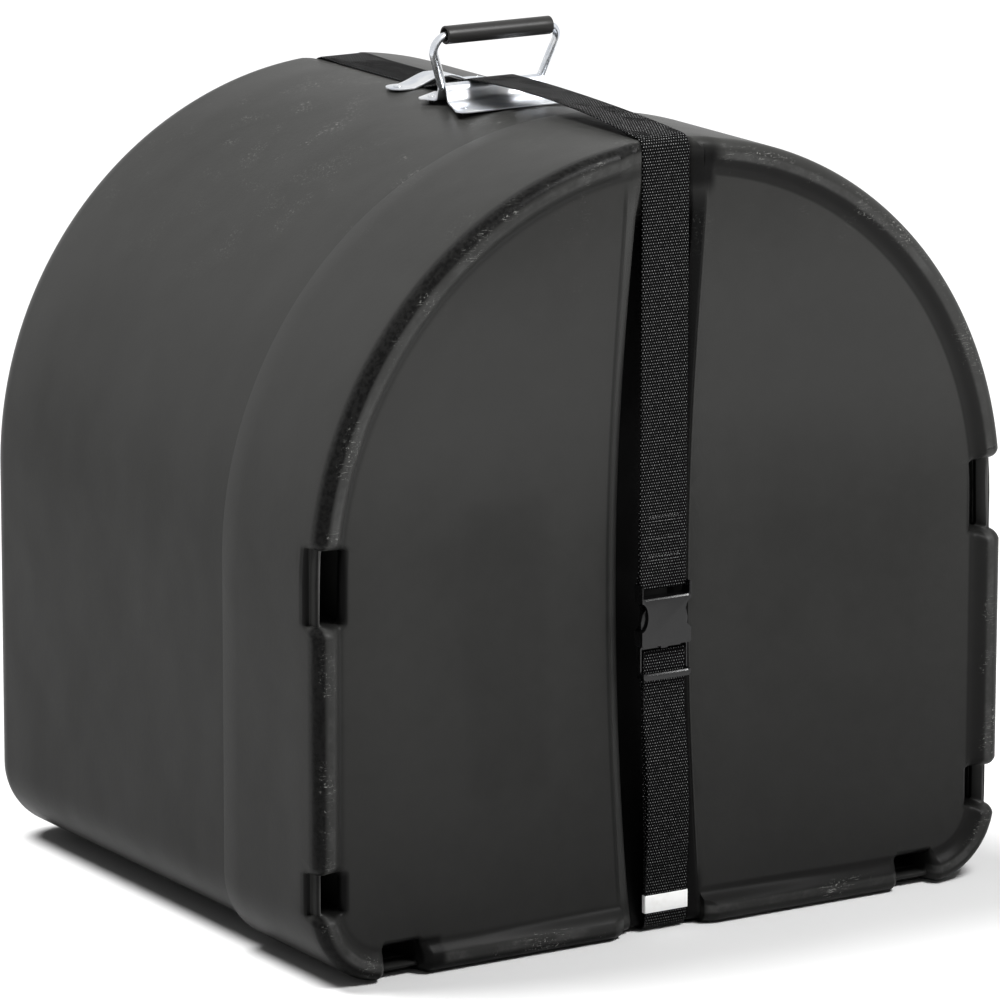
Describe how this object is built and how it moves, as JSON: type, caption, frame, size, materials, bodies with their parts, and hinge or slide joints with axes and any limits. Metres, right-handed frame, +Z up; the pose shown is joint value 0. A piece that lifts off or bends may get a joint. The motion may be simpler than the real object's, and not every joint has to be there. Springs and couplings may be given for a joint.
{
  "type": "drum case",
  "caption": "Arched moulded drum case with a telescoping beaded lid, a web strap in a face channel, a side-release buckle and a folding top handle.",
  "frame": {"origin": "bottom centre of the closed case's bounding box, on the floor that it stands on", "axes": "+Z up, the lid's face looks along -Y and the lid pulls off that way, +X to the right seen from the front"},
  "size_m": [0.735, 0.619, 0.7945],
  "materials": {
    "shell": "black roto-moulded polyethylene, soft sheen",
    "webbing": "black woven polypropylene webbing",
    "zinc": "bright zinc-plated steel",
    "grip": "black vinyl tube",
    "buckle": "black moulded acetal",
    "sleeve": "blank white printed tape"
  },
  "bodies": {
    "case_body": {"body_shell": "shell", "handle_plate": "zinc", "strap_keeper": "zinc", "keeper_rivet_left": "zinc", "keeper_rivet_right": "zinc", "keeper_washer_left": "zinc", "keeper_washer_right": "zinc", "plate_rivet_front_left": "zinc", "plate_rivet_front_right": "zinc", "plate_rivet_rear_left": "zinc", "plate_rivet_rear_right": "zinc", "plate_washer_front_left": "zinc", "plate_washer_front_right": "zinc", "plate_washer_rear_left": "zinc", "plate_washer_rear_right": "zinc", "webbing_body_run": "webbing"},
    "lid": {"lid_shell": "shell", "webbing_upper_run": "webbing", "webbing_sewn_end": "webbing", "webbing_lower_run": "webbing", "webbing_tail": "webbing", "buckle_socket": "buckle", "buckle_plug": "buckle", "strap_sleeve": "sleeve"},
    "handle": {"handle_bail": "zinc", "handle_grip": "grip"},
    "prong_left": {"buckle_prong_left": "buckle"},
    "prong_right": {"buckle_prong_right": "buckle"}
  },
  "joints": [
    {"name": "lid_slide", "type": "slide", "parent": "case_body", "child": "lid", "axis": [0, -1, 0], "range_m": [0, 0.2]},
    {"name": "handle_swing", "type": "hinge", "parent": "case_body", "child": "handle", "pos_m": [0, -0.005, 0.73445], "axis": [1, 0, 0], "range_deg": [-92, 58]},
    {"name": "prong_left_flex", "type": "hinge", "parent": "lid", "child": "prong_left", "pos_m": [-0.01367, -0.297, 0.268], "axis": [0, 1, 0], "range_deg": [0, 9], "stiffness_Nm_per_rad": 0.05},
    {"name": "prong_right_flex", "type": "hinge", "parent": "lid", "child": "prong_right", "pos_m": [0.01367, -0.297, 0.268], "axis": [0, -1, 0], "range_deg": [0, 9], "stiffness_Nm_per_rad": 0.05}
  ]
}
